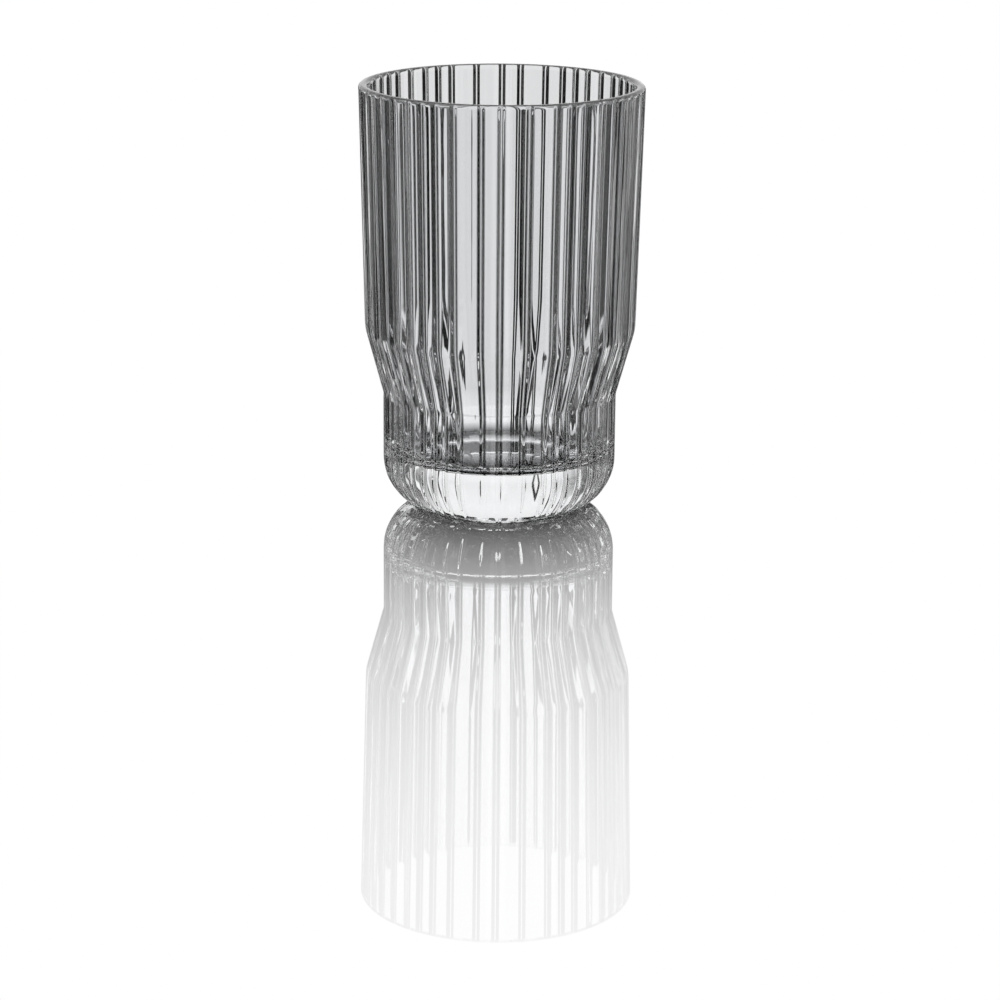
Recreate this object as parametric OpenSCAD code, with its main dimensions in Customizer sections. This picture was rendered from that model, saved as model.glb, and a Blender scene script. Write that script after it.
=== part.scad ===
// Ribbed drinking glass, pressed in one piece of clear glass.
// It stands on a narrow foot ring. The origin is at the middle of that ring's plane.
// Sizes are in millimetres, +Z is up.

/* [Overall] */
// Height of the glass
glass_h = 120; // [100:1:140]
// Outer diameter just under the lip, over the edges of the ribs
rim_d = 80; // [78:0.5:92]

/* [Shoulder and waist] */
// Outer diameter at the top of the shoulder
shoulder_d = 76.6; // [72:0.2:79]
// Height of the top of the shoulder
shoulder_z = 51.2; // [44:0.2:70]
// Radius of the soft corner at the top of the shoulder
shoulder_r = 14; // [4:0.5:24]
// Outer diameter of the waist
waist_d = 66.2; // [62:0.2:70]
// Height of the top of the waist, where the shoulder lands on it
waist_z = 32.4; // [26:0.2:38]
// Radius of the inner corner between the shoulder and the waist
waist_r = 6; // [2:0.5:16]

/* [Base] */
// Height of the rounded heel under the waist
heel_h = 14; // [8:0.5:16]
// Width of the rounded heel, from the waist in to the foot ring
heel_w = 12.5; // [8:0.5:14]
// Thickness of the solid base at its middle, over the recess
base_t = 13.8; // [10:0.2:16]
// Diameter of the recess inside the foot ring
recess_d = 33; // [24:0.5:35]
// Depth of the recess at its middle
recess_depth = 0.8; // [0.4:0.1:1.6]

/* [Wall] */
// Wall thickness at the lip, which is rounded to half of it
lip_t = 3; // [2:0.1:3.6]
// Width of the flat left on the crest of the lip
lip_flat = 0.3; // [0.2:0.05:0.6]
// Wall thickness at the top of the shoulder
shoulder_t = 3.5; // [2.6:0.1:4.5]
// Wall thickness at the waist
waist_t = 4.2; // [3:0.1:5.5]
// Radius of the fillet around the floor of the cavity
floor_r = 6; // [1:0.5:8]

/* [Ribs and grooves] */
// Width of a wide rib at the rim, before the ribs are fitted to a quarter turn
wide_rib = 7.7; // [6.6:0.1:9]
// Width of a middling rib at the rim, before the fitting
middle_rib = 5.5; // [4.8:0.1:6.5]
// Width of a narrow rib at the rim, before the fitting
narrow_rib = 4.4; // [3.8:0.1:4.7]
// Width of the groove between two ribs at the rim
groove_w = 2.1; // [1:0.1:2.4]
// Depth of the grooves at the rim, in proportion to the radius further down
groove_depth = 0.7; // [0.3:0.05:0.9]
// Share of the heel's height in which the grooves rise to their full depth from the foot ring
heel_runout_share = 0.35; // [0.1:0.05:1]

/* [Hidden] */

// Overrun of every cutting shape past the face that it opens
overrun = 1;
// Sides of a round shape
$fn = 128;
// Steps along a soft corner, along the lip, along the heel, and along the floor's fillet
corner_steps = 4;
lip_steps = 4;
heel_steps = 8;
fillet_steps = 8;

rim_r = rim_d / 2;
foot_r = waist_d / 2 - heel_w;
lip_r = (lip_t - lip_flat) / 2;
crest_r = rim_r - lip_r;
lip_z = glass_h - lip_r;
floor_z = base_t + recess_depth;

// Ribs of a quarter turn in their order, clockwise from the back, and the sum of their widths
rib_order = [
    middle_rib, wide_rib, middle_rib, narrow_rib, narrow_rib, middle_rib,
    middle_rib, narrow_rib, narrow_rib, wide_rib, wide_rib
];
rib_sum = rib_order * [for (w = rib_order) 1];
groove_half = asin(groove_w / rim_d);

// Corners of the outline outside and inside, as [radius, height]
outer_shoulder = [shoulder_d / 2, shoulder_z];
outer_waist = [waist_d / 2, waist_z];
inner_shoulder = outer_shoulder - [shoulder_t, 0];
inner_waist = outer_waist - [waist_t, 0];
inner_floor = [inner_waist[0], floor_z];

function unit(v) = v / norm(v);

// Points of an arc of radius r that rounds the corner at c, coming from a and leaving for b
function corner(a, c, b, r, steps) =
    let (u = unit(a - c), v = unit(b - c), half = acos(u * v) / 2)
    let (mid = c + unit(u + v) * r / sin(half), first = c + u * r / tan(half) - mid)
    let (side = sign(u[0] * v[1] - u[1] * v[0]), sweep = 180 - 2 * half)
    [for (i = [0 : steps])
        let (t = -side * sweep * i / steps)
        mid + [first[0] * cos(t) - first[1] * sin(t), first[0] * sin(t) + first[1] * cos(t)]];

// Outline of the outside, from the foot ring up to the crest of the lip
heel = [for (i = [0 : heel_steps])
    let (t = 90 * i / heel_steps)
    [foot_r + heel_w * sin(t), heel_h * (1 - cos(t))]];
lip = [for (i = [1 : lip_steps])
    let (t = 90 * i / lip_steps)
    [crest_r + lip_r * cos(t), lip_z + lip_r * sin(t)]];
wall_top = [rim_r, lip_z];
outside = concat(
    heel,
    corner(heel[heel_steps], outer_waist, outer_shoulder, waist_r, corner_steps),
    corner(outer_waist, outer_shoulder, wall_top, shoulder_r, corner_steps),
    [wall_top],
    lip
);

// Outline of the cavity, from the middle of its floor up past the mouth
mouth = [for (i = [0 : lip_steps])
    let (t = 90 * i / lip_steps)
    [crest_r - lip_flat - lip_r * cos(t), lip_z + lip_r * sin(t)]];
inside = concat(
    [[0, floor_z]],
    corner([0, floor_z], inner_floor, inner_waist, floor_r, fillet_steps),
    corner(inner_floor, inner_waist, inner_shoulder, waist_r + waist_t, corner_steps),
    corner(inner_waist, inner_shoulder, mouth[0], shoulder_r - shoulder_t, corner_steps),
    mouth,
    [[crest_r - lip_flat, glass_h + overrun], [0, glass_h + overrun]]
);

// Depth of the grooves on a point of the outline: none on the crest of the lip and the foot ring
function rise(z) = min(1, (glass_h - z) / lip_r, z / heel_h / heel_runout_share);
function depth(p) = groove_depth * p[0] / rim_r * rise(p[1]);

// Sum of the first rib widths in a quarter turn
function width_before(i) = i == 0 ? 0 : width_before(i - 1) + rib_order[i - 1];

// Section round the glass, as [angle, share of the groove's depth]: each groove and both its edges
section = [for (quarter = [0 : 3], i = [0 : len(rib_order) - 1], side = [-1 : 1])
    let (groove = 90 * (quarter + width_before(i) / rib_sum))
    [90 - groove - side * groove_half, 1 - abs(side)]];

// Skin of the ribbed outside: one ring of points for each point of the outline
module ribbed_skin() {
    sides = len(section);
    rings = len(outside);
    points = [for (p = outside, s = section)
        let (r = p[0] - depth(p) * s[1])
        [r * cos(s[0]), r * sin(s[0]), p[1]]];
    bands = [for (k = [0 : rings - 2], i = [0 : sides - 1])
        let (a = k * sides + i, b = k * sides + (i + 1) % sides)
        each [[a, b + sides, a + sides], [a, b, b + sides]]];
    floor_face = [for (i = [sides - 1 : -1 : 0]) i];
    top_face = [for (i = [0 : sides - 1]) (rings - 1) * sides + i];
    polyhedron(points, concat([floor_face, top_face], bands));
}

// Space for the drink, open at the top
module cavity() {
    rotate_extrude() polygon(inside);
}

// Shallow dome under the base, which leaves the foot ring standing
module recess() {
    dome_r = (pow(recess_d / 2, 2) + pow(recess_depth, 2)) / (2 * recess_depth);
    translate([0, 0, recess_depth - dome_r]) sphere(dome_r);
}

module tumbler() {
    color([0.86, 0.88, 0.9, 0.5])
        difference() {
            ribbed_skin();
            cavity();
            recess();
        }
}

tumbler();
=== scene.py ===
"""Ribbed drinking glass on a pale floor that mirrors it, in a ring of soft studio panels. Metres, +Z up."""
import math

import bpy
from mathutils import Matrix, Vector


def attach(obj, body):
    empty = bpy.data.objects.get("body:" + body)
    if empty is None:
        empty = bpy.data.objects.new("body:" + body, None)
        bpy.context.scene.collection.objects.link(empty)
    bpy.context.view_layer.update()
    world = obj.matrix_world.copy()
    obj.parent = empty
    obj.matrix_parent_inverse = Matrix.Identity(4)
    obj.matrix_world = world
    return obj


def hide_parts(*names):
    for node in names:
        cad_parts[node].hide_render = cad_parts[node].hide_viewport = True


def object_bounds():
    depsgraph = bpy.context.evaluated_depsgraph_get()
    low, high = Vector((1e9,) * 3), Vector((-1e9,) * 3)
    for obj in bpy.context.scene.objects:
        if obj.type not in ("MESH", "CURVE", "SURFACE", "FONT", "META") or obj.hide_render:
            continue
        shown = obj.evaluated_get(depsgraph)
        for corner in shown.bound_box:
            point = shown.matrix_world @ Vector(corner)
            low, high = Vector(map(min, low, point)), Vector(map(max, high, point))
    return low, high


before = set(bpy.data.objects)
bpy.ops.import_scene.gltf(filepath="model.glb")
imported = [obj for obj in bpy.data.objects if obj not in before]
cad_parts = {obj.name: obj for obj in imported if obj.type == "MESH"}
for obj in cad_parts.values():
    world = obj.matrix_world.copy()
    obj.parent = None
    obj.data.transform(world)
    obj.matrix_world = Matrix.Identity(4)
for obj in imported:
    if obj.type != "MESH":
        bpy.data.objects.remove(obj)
cad_low, cad_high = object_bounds()

# Outline of the glass, as [radius, height]; the height and the rim come from the bounds of model.glb
GLASS_H = cad_high.z
RIM_R = cad_high.x
SHOULDER = Vector((0.0383, 0.0512))
SHOULDER_ROUND = 0.014
WAIST = Vector((0.0331, 0.0324))
WAIST_ROUND = 0.006
HEEL_H = 0.014
HEEL_W = 0.0125
BASE_T = 0.0138
RECESS_R = 0.0165
RECESS_DEPTH = 0.0008
LIP_T = 0.003
LIP_FLAT = 0.0003
LIP_ROUND = (LIP_T - LIP_FLAT) / 2
SHOULDER_T = 0.0035
WAIST_T = 0.0042
FLOOR_ROUND = 0.006

# Ribs of three widths, in degrees, and their order in a quarter turn, clockwise from the back
WIDE_RIB = 11.0
MIDDLE_RIB = 7.9
NARROW_RIB = 6.35
QUARTER_OF_RIBS = [
    MIDDLE_RIB, WIDE_RIB, MIDDLE_RIB, NARROW_RIB, NARROW_RIB, MIDDLE_RIB,
    MIDDLE_RIB, NARROW_RIB, NARROW_RIB, WIDE_RIB, WIDE_RIB,
]

# Grooves between the ribs, at the rim, and the share of the heel's height in which they run out
GROOVE_DEPTH = 0.0007
GROOVE_W = 0.0021
GROOVE_SOFT_SHARE = 0.3
HEEL_RUNOUT_SHARE = 0.35

# Points across half a groove, as shares of its half width, and the steps on the flat of a rib
GROOVE_POINT_SHARES = (0, 0.08, 0.2, 0.5, 0.8, 0.92, 1, 1.08, 1.2)
FLAT_STEPS = 4

# Steps of the curves in the outline, and the longest step on its straight stretches
HEEL_STEPS = 20
LIP_STEPS = 8
CORNER_STEPS = 6
FILLET_STEPS = 10
DOME_STEPS = 6
STRAIGHT_STEP = 0.012

# In the sweep: what is added to a point's number, so that the division into columns can't round to
# the one before, and the distance under which points are merged
INDEX_GUARD = 0.5
MERGE_DISTANCE = 2e-6

# Clear glass: its faint grey, how much it bends light, and the upright drag that the mould leaves on it
GLASS_TINT = (0.97, 0.975, 0.985, 1)
GLASS_IOR = 1.52
DRAG_STRETCH = 0.12
DRAG_SCALE = 260.0
DRAG_DETAIL = 2.0
DRAG_STRENGTH = 0.02
DRAG_DEPTH = 0.0002

# Limits between whole counts of bounces
UNDER_ONE = 0.5
UNDER_TWO = 1.5
UNDER_THREE = 2.5

# Studio panels all round, in degrees: from one to the next, half of one, and its soft edge. The dark
# room between them has a level too
PANEL_TURN = 45
PANEL_HALF = 6.5
PANEL_EDGE = 3.0
ROOM_LEVEL = 0.01

# Diagonal panels, by the sine of the height over the horizon. Up to the first height the left ones are
# dim, the one behind right has a level of its own and the one in front right is full, and from the
# second height up all are full
DIAGONAL_LOW_TOP = 0.34
DIAGONAL_FULL_START = 0.40
LEFT_LOW_LEVEL = 0.1
BEHIND_RIGHT_LOW_LEVEL = 0.5

# Dark ceiling over the panels, by the sine of the height over the horizon, and its level
CEILING_START = 0.6
CEILING_FULL = 0.8
CEILING_LEVEL = 0.05

# Darker stretches of the light that the solid base gathers, in degrees from straight behind, their
# level, and where they end upwards, by the sine of the height over the horizon
FLANK_MIDDLE = 50.0
FLANK_HALF = 9.0
FLANK_EDGE = 20.0
FLANK_LEVEL = 0.12
FLANK_TOP_START = 0.40
FLANK_TOP_END = 0.46

# Floor as seen through the glass, with painted shadow: the painted contact shadow, a dark line under the
# foot, the painted shade inside it, and the open floor, a little darker further off
CONTACT_SHADOW_MIDDLE = 0.0192
CONTACT_SHADOW_HALF = 0.0028
CONTACT_SHADOW_EDGE = 0.001
CONTACT_SHADOW_LEVEL = 0.03
UNDER_FOOT_SHADE_LEVEL = 0.1
NEAR_FLOOR = 0.09
FAR_FLOOR = 0.12
FAR_FLOOR_LEVEL = 0.8

# Mirror image in the floor: where it starts to fade, how fast it fades with distance, and the least
# share of it that is left
MIRROR_START = 0.02
MIRROR_FADE = 8.7
MIRROR_LEAST_SHARE = 0.06

# Half the width of the floor, and the white of the floor and of the studio's light
FLOOR_HALF = 4.0
WHITE = (1, 1, 1, 1)

# Camera, from the fit to the photograph
CAMERA_PLACE = Vector((0.0004, -0.9215, 0.2580))
CAMERA_PITCH = math.radians(15.631)
CAMERA_ROLL = math.radians(0.47)
CAMERA_LENS = 120.15
CAMERA_SENSOR = 36

# Most bounces of light, enough for both walls of the glass and their mirror image
MOST_BOUNCES = 32
MOST_MIRRORS = 16


def corner(a, c, b, radius, steps):
    """Points of an arc that rounds the corner at c, coming from a and leaving for b."""
    u = (a - c).normalized()
    v = (b - c).normalized()
    half = math.acos(u.dot(v)) / 2
    middle = c + (u + v).normalized() * (radius / math.sin(half))
    first = c + u * (radius / math.tan(half)) - middle
    side = 1 if u.x * v.y - u.y * v.x > 0 else -1
    sweep = math.pi - 2 * half
    turns = [Matrix.Rotation(-side * sweep * i / steps, 2) for i in range(steps + 1)]
    return [middle + turn @ first for turn in turns]


def arc(middle, width, height, start, end, steps):
    """Points of an elliptical arc between two angles in degrees, counted up from the outward side."""
    angles = [math.radians(start + (end - start) * i / steps) for i in range(steps + 1)]
    return [middle + Vector((width * math.cos(t), height * math.sin(t))) for t in angles]


def outside_outline():
    """From the foot ring up to the crest of the lip."""
    crest = Vector((RIM_R - LIP_ROUND, GLASS_H - LIP_ROUND))
    wall_top = Vector((RIM_R, GLASS_H - LIP_ROUND))
    heel = arc(Vector((WAIST.x - HEEL_W, HEEL_H)), HEEL_W, HEEL_H, -90, 0, HEEL_STEPS)
    down = (SHOULDER - wall_top).normalized()
    return (
        heel
        + corner(heel[-1], WAIST, SHOULDER, WAIST_ROUND, CORNER_STEPS)
        + corner(WAIST, SHOULDER, wall_top, SHOULDER_ROUND, CORNER_STEPS)
        + [wall_top + down * LIP_T]
        + arc(crest, LIP_ROUND, LIP_ROUND, 0, 90, LIP_STEPS)
    )


def inside_outline():
    """From the crest of the lip down to the middle of the cavity's floor."""
    crest = Vector((RIM_R - LIP_ROUND - LIP_FLAT, GLASS_H - LIP_ROUND))
    floor_z = BASE_T + RECESS_DEPTH
    shoulder = SHOULDER - Vector((SHOULDER_T, 0))
    waist = WAIST - Vector((WAIST_T, 0))
    floor_edge = Vector((waist.x, floor_z))
    middle = Vector((0, floor_z))
    mouth = arc(crest, LIP_ROUND, LIP_ROUND, 90, 180, LIP_STEPS)
    return (
        mouth
        + corner(mouth[-1], shoulder, waist, SHOULDER_ROUND - SHOULDER_T, CORNER_STEPS)
        + corner(shoulder, waist, floor_edge, WAIST_ROUND + WAIST_T, CORNER_STEPS)
        + corner(waist, floor_edge, middle, FLOOR_ROUND, FILLET_STEPS)
        + [middle]
    )


def recess_outline():
    """From the middle of the recess out to the foot ring."""
    dome_r = (RECESS_R**2 + RECESS_DEPTH**2) / (2 * RECESS_DEPTH)
    radii = [RECESS_R * i / DOME_STEPS for i in range(DOME_STEPS + 1)]
    return [Vector((r, math.sqrt(dome_r**2 - r**2) - dome_r + RECESS_DEPTH)) for r in radii]


def filled(points, step):
    """The same outline with its long straight stretches split into shorter ones."""
    out = [points[0]]
    for a, b in zip(points, points[1:]):
        parts = max(1, math.ceil((b - a).length / step))
        out += [a.lerp(b, i / parts) for i in range(1, parts + 1)]
    return out


def groove_share(point):
    """Share of the grooves' depth at a point of the outside: none on the crest of the lip and the foot."""
    below_crest = (GLASS_H - point.y) / LIP_ROUND
    over_foot = point.y / HEEL_H / HEEL_RUNOUT_SHARE
    return min(1.0, below_crest, over_foot) * point.x / RIM_R


def soft_peak(offset, half, soft):
    """A straight-sided peak of height 1 over a groove of half that width, with soft corners."""
    def rising(x):
        return (x + math.sqrt(x * x + soft * soft)) / 2

    return (rising(offset + half) - 2 * rising(offset) + rising(offset - half)) / half


def rib_section():
    """The section round the glass, as [angle in degrees, depth of the cut in depths of a groove]."""
    half = math.degrees(GROOVE_W / 2 / RIM_R)
    soft = half * GROOVE_SOFT_SHARE
    near = [half * share for share in GROOVE_POINT_SHARES]
    places = []
    start = 0.0
    for width in QUARTER_OF_RIBS * 4:
        flat = width - 2 * near[-1]
        on_flat = [near[-1] + flat * i / FLAT_STEPS for i in range(1, FLAT_STEPS)]
        offsets = near + on_flat + [width - offset for offset in near[:0:-1]]
        for offset in offsets:
            side = min(offset, width - offset)
            off_middle = math.radians(width / 2 - side)
            flat_cut = RIM_R / 2 * (math.radians(width / 2) ** 2 - off_middle**2)
            places.append((start + offset, soft_peak(side, half, soft) + flat_cut / GROOVE_DEPTH))
        start += width
    return places


def string_of_edges(name, points, edges, value_name, values):
    """A mesh of points and edges alone, with a named value on each point."""
    mesh = bpy.data.meshes.new(name)
    mesh.from_pydata(points, edges, [])
    mesh.attributes.new(value_name, "FLOAT", "POINT").data.foreach_set("value", values)
    return mesh


def ring_mesh():
    """The section as a closed ring of radius 1, with the depth of the cut on each point."""
    places = rib_section()
    turns = [math.radians(angle) for angle, cut in places]
    points = [(math.sin(t), math.cos(t), 0) for t in turns]
    edges = [(i, (i + 1) % len(points)) for i in range(len(points))]
    return string_of_edges("ring", points, edges, "cut", [cut for angle, cut in places])


def outline_mesh():
    """The outline from the recess round to the cavity's floor, with the grooves' share on each point."""
    recess = recess_outline()
    outside = filled(outside_outline(), STRAIGHT_STEP)
    inside = filled(inside_outline(), STRAIGHT_STEP)
    points = [(p.x, 0, p.y) for p in recess + outside + inside]
    edges = [(i, i + 1) for i in range(len(points) - 1)]
    shares = [0.0] * len(recess) + [groove_share(p) for p in outside] + [0.0] * len(inside)
    return string_of_edges("outline", points, edges, "share", shares)


def in_scene(name, data):
    """A new object of that name and data, linked to the scene."""
    thing = bpy.data.objects.new(name, data)
    bpy.context.scene.collection.objects.link(thing)
    return thing


class Wiring:
    """Short forms for adding nodes to a tree and joining them."""

    def __init__(self, tree):
        self.tree = tree

    def add(self, kind, inputs=(), **settings):
        """A new node with these settings, and with these inputs linked or set."""
        node = self.tree.nodes.new(kind)
        for name, value in settings.items():
            setattr(node, name, value)
        for key, value in dict(inputs).items():
            self.feed(node.inputs[key], value)
        return node

    def feed(self, socket, value):
        """Links a node's output to the socket, or sets a plain value on it."""
        if isinstance(value, bpy.types.NodeSocket):
            self.tree.links.new(value, socket)
        else:
            socket.default_value = value

    def math(self, operation, *values):
        """The result of an operation on one to three values."""
        return self.add("ShaderNodeMath", enumerate(values), operation=operation).outputs[0]

    def ramp(self, value, start, end, low, high, **settings):
        """A value that goes from low to high while another goes from start to end."""
        inputs = {"Value": value, "From Min": start, "From Max": end, "To Min": low, "To Max": high}
        return self.add("ShaderNodeMapRange", inputs, **settings).outputs[0]

    def soft_ramp(self, value, start, end, low, high):
        """The same with a gentle start and end."""
        return self.ramp(value, start, end, low, high, interpolation_type="SMOOTHSTEP")

    def blend(self, share, first, second):
        """The first value at share 0 and the second at share 1."""
        inputs = {"Factor": share, "A": first, "B": second}
        return self.add("ShaderNodeMix", inputs, data_type="FLOAT").outputs[0]

    def blend_shaders(self, share, first, second):
        """The first shader at share 0 and the second at share 1."""
        inputs = enumerate((share, first.outputs[0], second.outputs[0]))
        return self.add("ShaderNodeMixShader", inputs)


def sweep_tree(glass):
    """Turns an outline round the Z axis along a ring, and cuts the ring's grooves into it."""
    tree = bpy.data.node_groups.new("grooved sweep", "GeometryNodeTree")
    face = tree.interface
    face.new_socket("Outline", in_out="INPUT", socket_type="NodeSocketGeometry")
    face.new_socket("Ring", in_out="INPUT", socket_type="NodeSocketObject")
    face.new_socket("Points", in_out="INPUT", socket_type="NodeSocketInt")
    face.new_socket("Columns", in_out="INPUT", socket_type="NodeSocketInt")
    face.new_socket("Groove depth", in_out="INPUT", socket_type="NodeSocketFloat")
    face.new_socket("Glass", in_out="OUTPUT", socket_type="NodeSocketGeometry")

    w = Wiring(tree)
    given = w.add("NodeGroupInput").outputs
    ring = w.add("GeometryNodeObjectInfo", {"Object": given["Ring"]}).outputs["Geometry"]
    columns = w.math("ADD", given["Columns"], 1)
    grid = w.add("GeometryNodeMeshGrid", {"Vertices X": columns, "Vertices Y": given["Points"]})

    index = w.add("GeometryNodeInputIndex").outputs[0]
    column = w.math("FLOOR", w.math("DIVIDE", w.math("ADD", index, INDEX_GUARD), given["Points"]))
    row = w.math("SUBTRACT", index, w.math("MULTIPLY", column, given["Points"]))
    around = w.math("MODULO", column, given["Columns"])
    position = w.add("GeometryNodeInputPosition").outputs[0]

    def sampled(source, value, where, kind):
        inputs = {"Geometry": source, "Value": value, "Index": where}
        return w.add("GeometryNodeSampleIndex", inputs, data_type=kind).outputs[0]

    def named(name):
        return w.add("GeometryNodeInputNamedAttribute", {"Name": name}, data_type="FLOAT").outputs[0]

    place = sampled(given["Outline"], position, row, "FLOAT_VECTOR")
    outline = w.add("ShaderNodeSeparateXYZ", {"Vector": place}).outputs
    share = sampled(given["Outline"], named("share"), row, "FLOAT")
    turn = sampled(ring, position, around, "FLOAT_VECTOR")
    way = w.add("ShaderNodeSeparateXYZ", {"Vector": turn}).outputs
    cut = sampled(ring, named("cut"), around, "FLOAT")
    depth = w.math("MULTIPLY", w.math("MULTIPLY", given["Groove depth"], share), cut)
    radius = w.math("SUBTRACT", outline["X"], depth)

    swept = w.add(
        "ShaderNodeCombineXYZ",
        {
            "X": w.math("MULTIPLY", radius, way["X"]),
            "Y": w.math("MULTIPLY", radius, way["Y"]),
            "Z": outline["Z"],
        },
    ).outputs[0]
    moved = w.add("GeometryNodeSetPosition", {"Geometry": grid.outputs["Mesh"], "Position": swept})
    closed = w.add("GeometryNodeMergeByDistance", {"Geometry": moved.outputs[0], "Distance": MERGE_DISTANCE})
    turned = w.add("GeometryNodeFlipFaces", {"Mesh": closed.outputs[0]})
    smooth = w.add("GeometryNodeSetShadeSmooth", {"Geometry": turned.outputs[0], "Shade Smooth": True})
    real = w.add("GeometryNodeRealizeInstances", {"Geometry": smooth.outputs[0]})
    dressed = w.add("GeometryNodeSetMaterial", {"Geometry": real.outputs[0], "Material": glass})
    w.add("NodeGroupOutput", {"Glass": dressed.outputs[0]})
    return tree


def set_inputs(modifier, values):
    """Sets a modifier's inputs through their sockets' identifiers."""
    for item in modifier.node_group.interface.items_tree:
        if item.in_out == "INPUT" and item.name in values:
            modifier[item.identifier] = values[item.name]


def turned_glass(glass):
    """The tumbler as one closed mesh."""
    ring = in_scene("ring", ring_mesh())
    carrier = in_scene("sweep", outline_mesh())
    modifier = carrier.modifiers.new("sweep", "NODES")
    modifier.node_group = sweep_tree(glass)
    set_inputs(
        modifier,
        {
            "Ring": ring,
            "Points": len(carrier.data.vertices),
            "Columns": len(ring.data.vertices),
            "Groove depth": GROOVE_DEPTH,
        },
    )
    bpy.context.view_layer.update()
    evaluated = carrier.evaluated_get(bpy.context.evaluated_depsgraph_get())
    mesh = bpy.data.meshes.new_from_object(evaluated)
    mesh.name = "tumbler_glass"
    bpy.data.objects.remove(carrier)
    bpy.data.objects.remove(ring)
    return in_scene("tumbler_glass", mesh)


def new_material(name):
    """An empty material and the wiring of its nodes."""
    material = bpy.data.materials.new(name)
    material.use_nodes = True
    material.node_tree.nodes.clear()
    return material, Wiring(material.node_tree)


def clear_glass():
    """Clear pressed glass: faint upright drag from the mould, and a whisper of grey."""
    material, w = new_material("clear pressed glass")
    place = w.add("ShaderNodeTexCoord").outputs["Object"]
    drag = w.add("ShaderNodeMapping", {"Vector": place, "Scale": (1, 1, DRAG_STRETCH)}).outputs[0]
    waves = w.add("ShaderNodeTexNoise", {"Vector": drag, "Scale": DRAG_SCALE, "Detail": DRAG_DETAIL})
    height = {"Height": waves.outputs[0], "Strength": DRAG_STRENGTH, "Distance": DRAG_DEPTH}
    shader = w.add(
        "ShaderNodeBsdfPrincipled",
        {
            "Base Color": GLASS_TINT,
            "Roughness": 0.0,
            "IOR": GLASS_IOR,
            "Transmission Weight": 1.0,
            "Normal": w.add("ShaderNodeBump", height).outputs[0],
        },
    )
    w.add("ShaderNodeOutputMaterial", {"Surface": shader.outputs[0]})
    return material


def panel_light(w, azimuth, rise):
    """Full panels behind, at both sides and in front, diagonal ones between, and dark over and between."""
    folded = w.math("ABSOLUTE", w.math("WRAP", azimuth, PANEL_TURN, -PANEL_TURN))

    def panel(distance, level):
        """A panel of that level, with soft edges, over the dark of the room."""
        return w.soft_ramp(distance, PANEL_HALF, PANEL_HALF + PANEL_EDGE, level, ROOM_LEVEL)

    left = w.ramp(rise, DIAGONAL_LOW_TOP, DIAGONAL_FULL_START, LEFT_LOW_LEVEL, 1.0)
    right = w.math("MULTIPLY", w.math("GREATER_THAN", azimuth, 0), BEHIND_RIGHT_LOW_LEVEL)
    front_right = w.math("GREATER_THAN", azimuth, 2 * PANEL_TURN)
    lit = w.math("MAXIMUM", left, w.math("MAXIMUM", right, front_right))
    straight = panel(folded, 1.0)
    diagonal = panel(w.math("SUBTRACT", PANEL_TURN, folded), lit)
    ceiling = w.ramp(rise, CEILING_START, CEILING_FULL, 1.0, CEILING_LEVEL)
    return w.math("MULTIPLY", w.math("MAXIMUM", straight, diagonal), ceiling)


def base_light(w, azimuth, rise):
    """White all round, with a darker stretch behind left and behind right up to some height."""
    off_flank = w.math("ABSOLUTE", w.math("SUBTRACT", w.math("ABSOLUTE", azimuth), FLANK_MIDDLE))
    flank = w.soft_ramp(off_flank, FLANK_HALF, FLANK_HALF + FLANK_EDGE, FLANK_LEVEL, 1.0)
    return w.math("MAXIMUM", flank, w.ramp(rise, FLANK_TOP_START, FLANK_TOP_END, 0.0, 1.0))


def studio_world():
    """White for light that meets no glass, a light for the solid base alone, and panels for the rest."""
    world = bpy.data.worlds.new("studio")
    bpy.context.scene.world = world
    world.use_nodes = True
    world.node_tree.nodes.clear()
    w = Wiring(world.node_tree)
    sky = w.add("ShaderNodeTexCoord").outputs["Generated"]
    way = w.add("ShaderNodeSeparateXYZ", {"Vector": sky}).outputs
    azimuth = w.math("DEGREES", w.math("ARCTAN2", way["X"], way["Y"]))

    rays = w.add("ShaderNodeLightPath").outputs
    no_glass = w.math("LESS_THAN", rays["Transmission Depth"], UNDER_ONE)
    one_mirror = w.math("LESS_THAN", rays["Glossy Depth"], UNDER_TWO)
    met_glass = w.math("SUBTRACT", 1, w.math("MULTIPLY", no_glass, one_mirror))
    one_solid = w.math("LESS_THAN", rays["Transmission Depth"], UNDER_THREE)
    no_mirror = w.math("LESS_THAN", rays["Glossy Depth"], UNDER_ONE)
    base = w.math("MULTIPLY", w.math("MULTIPLY", rays["Is Transmission Ray"], one_solid), no_mirror)
    by_panels = w.math("MULTIPLY", met_glass, w.math("SUBTRACT", 1, base))

    plain = w.blend(met_glass, 1.0, base_light(w, azimuth, way["Z"]))
    level = w.blend(by_panels, plain, panel_light(w, azimuth, way["Z"]))
    light = w.add("ShaderNodeBackground", {"Color": WHITE, "Strength": level})
    w.add("ShaderNodeOutputWorld", {"Surface": light.outputs[0]})


def mirror_share(w, away):
    """Share of the mirror image in the floor, which fades with the distance from the foot."""
    falling = w.math("EXPONENT", w.math("MULTIPLY", w.math("SUBTRACT", away, MIRROR_START), -MIRROR_FADE))
    return w.math("MULTIPLY_ADD", falling, 1 - MIRROR_LEAST_SHARE, MIRROR_LEAST_SHARE)


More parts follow.
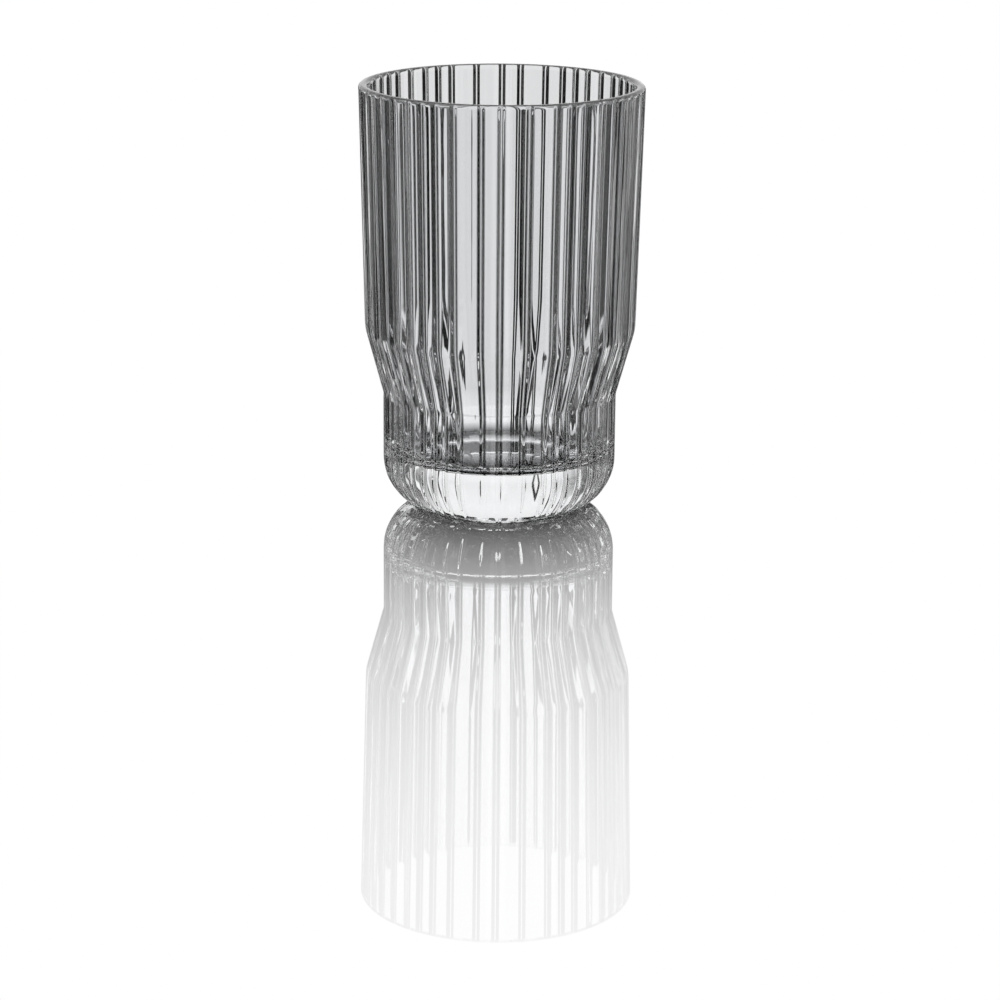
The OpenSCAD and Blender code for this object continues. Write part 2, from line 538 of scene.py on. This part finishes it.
def floor_through_glass_with_painted_shadow(w, away):
    """Level of the floor through the glass: painted contact shadow on the line of contact and painted shade
    inside it.
    """
    off_contact_shadow = w.math("ABSOLUTE", w.math("SUBTRACT", away, CONTACT_SHADOW_MIDDLE))
    # Painted contact shadow: a dark ring of floor under the foot ring
    contact = w.ramp(off_contact_shadow, CONTACT_SHADOW_HALF, CONTACT_SHADOW_HALF + CONTACT_SHADOW_EDGE, CONTACT_SHADOW_LEVEL, 1.0)
    far_floor = w.ramp(away, NEAR_FLOOR, FAR_FLOOR, 1.0, FAR_FLOOR_LEVEL)
    # Painted shade: the floor inside the foot ring is darkened
    inside = w.math("LESS_THAN", away, CONTACT_SHADOW_MIDDLE)
    shade = w.math("MULTIPLY_ADD", inside, UNDER_FOOT_SHADE_LEVEL - 1, 1)
    return w.math("MULTIPLY", w.math("MULTIPLY", contact, far_floor), shade)


def pale_mirror():
    """White to the camera, with a mirror image that fades, and through the glass a dimmer mirror with
    painted contact shadow and painted shade under the foot.
    """
    material, w = new_material("pale mirror floor")
    place = w.add("ShaderNodeTexCoord").outputs["Object"]
    away = w.add("ShaderNodeVectorMath", {0: place}, operation="LENGTH").outputs["Value"]
    # Painted shadow: the mirror seen through the glass is darkened at the foot and under it
    level = floor_through_glass_with_painted_shadow(w, away)
    grey = w.add("ShaderNodeCombineColor", enumerate((level, level, level))).outputs[0]
    white = w.add("ShaderNodeEmission", {"Color": WHITE, "Strength": 1.0})
    mirror = w.add("ShaderNodeBsdfGlossy", {"Color": WHITE, "Roughness": 0.0})
    dim = w.add("ShaderNodeBsdfGlossy", {"Color": grey, "Roughness": 0.0})
    seen = w.blend_shaders(mirror_share(w, away), white, mirror)
    camera = w.add("ShaderNodeLightPath").outputs["Is Camera Ray"]
    both = w.blend_shaders(camera, dim, seen)
    w.add("ShaderNodeOutputMaterial", {"Surface": both.outputs[0]})
    return material


def mirror_floor():
    """A wide level floor round the foot of the glass."""
    mesh = bpy.data.meshes.new("floor")
    corners = ((-1, -1), (1, -1), (1, 1), (-1, 1))
    mesh.from_pydata([(FLOOR_HALF * x, FLOOR_HALF * y, 0) for x, y in corners], [], [(0, 1, 2, 3)])
    mesh.materials.append(pale_mirror())
    in_scene("floor", mesh)


def photograph_camera():
    """Stands where the photograph was taken from, looks down on the glass and leans by the roll."""
    right = Vector((1, 0, 0))
    up = Vector((0, math.sin(CAMERA_PITCH), math.cos(CAMERA_PITCH)))
    back = Vector((0, -math.cos(CAMERA_PITCH), math.sin(CAMERA_PITCH)))
    along = math.cos(CAMERA_ROLL)
    across = math.sin(CAMERA_ROLL)
    axes = (right * along + up * across, up * along - right * across, back)
    data = bpy.data.cameras.new("camera")
    data.lens = CAMERA_LENS
    data.sensor_width = CAMERA_SENSOR
    camera = in_scene("camera", data)
    camera.matrix_world = Matrix.Translation(CAMERA_PLACE) @ Matrix(axes).transposed().to_4x4()
    bpy.context.scene.camera = camera


photograph_camera()
studio_world()
mirror_floor()

tumbler = turned_glass(clear_glass())
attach(tumbler, "root")
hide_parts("tumbler")

scene = bpy.context.scene
scene.view_settings.view_transform = "Standard"
scene.cycles.max_bounces = MOST_BOUNCES
scene.cycles.transmission_bounces = MOST_BOUNCES
scene.cycles.glossy_bounces = MOST_MIRRORS
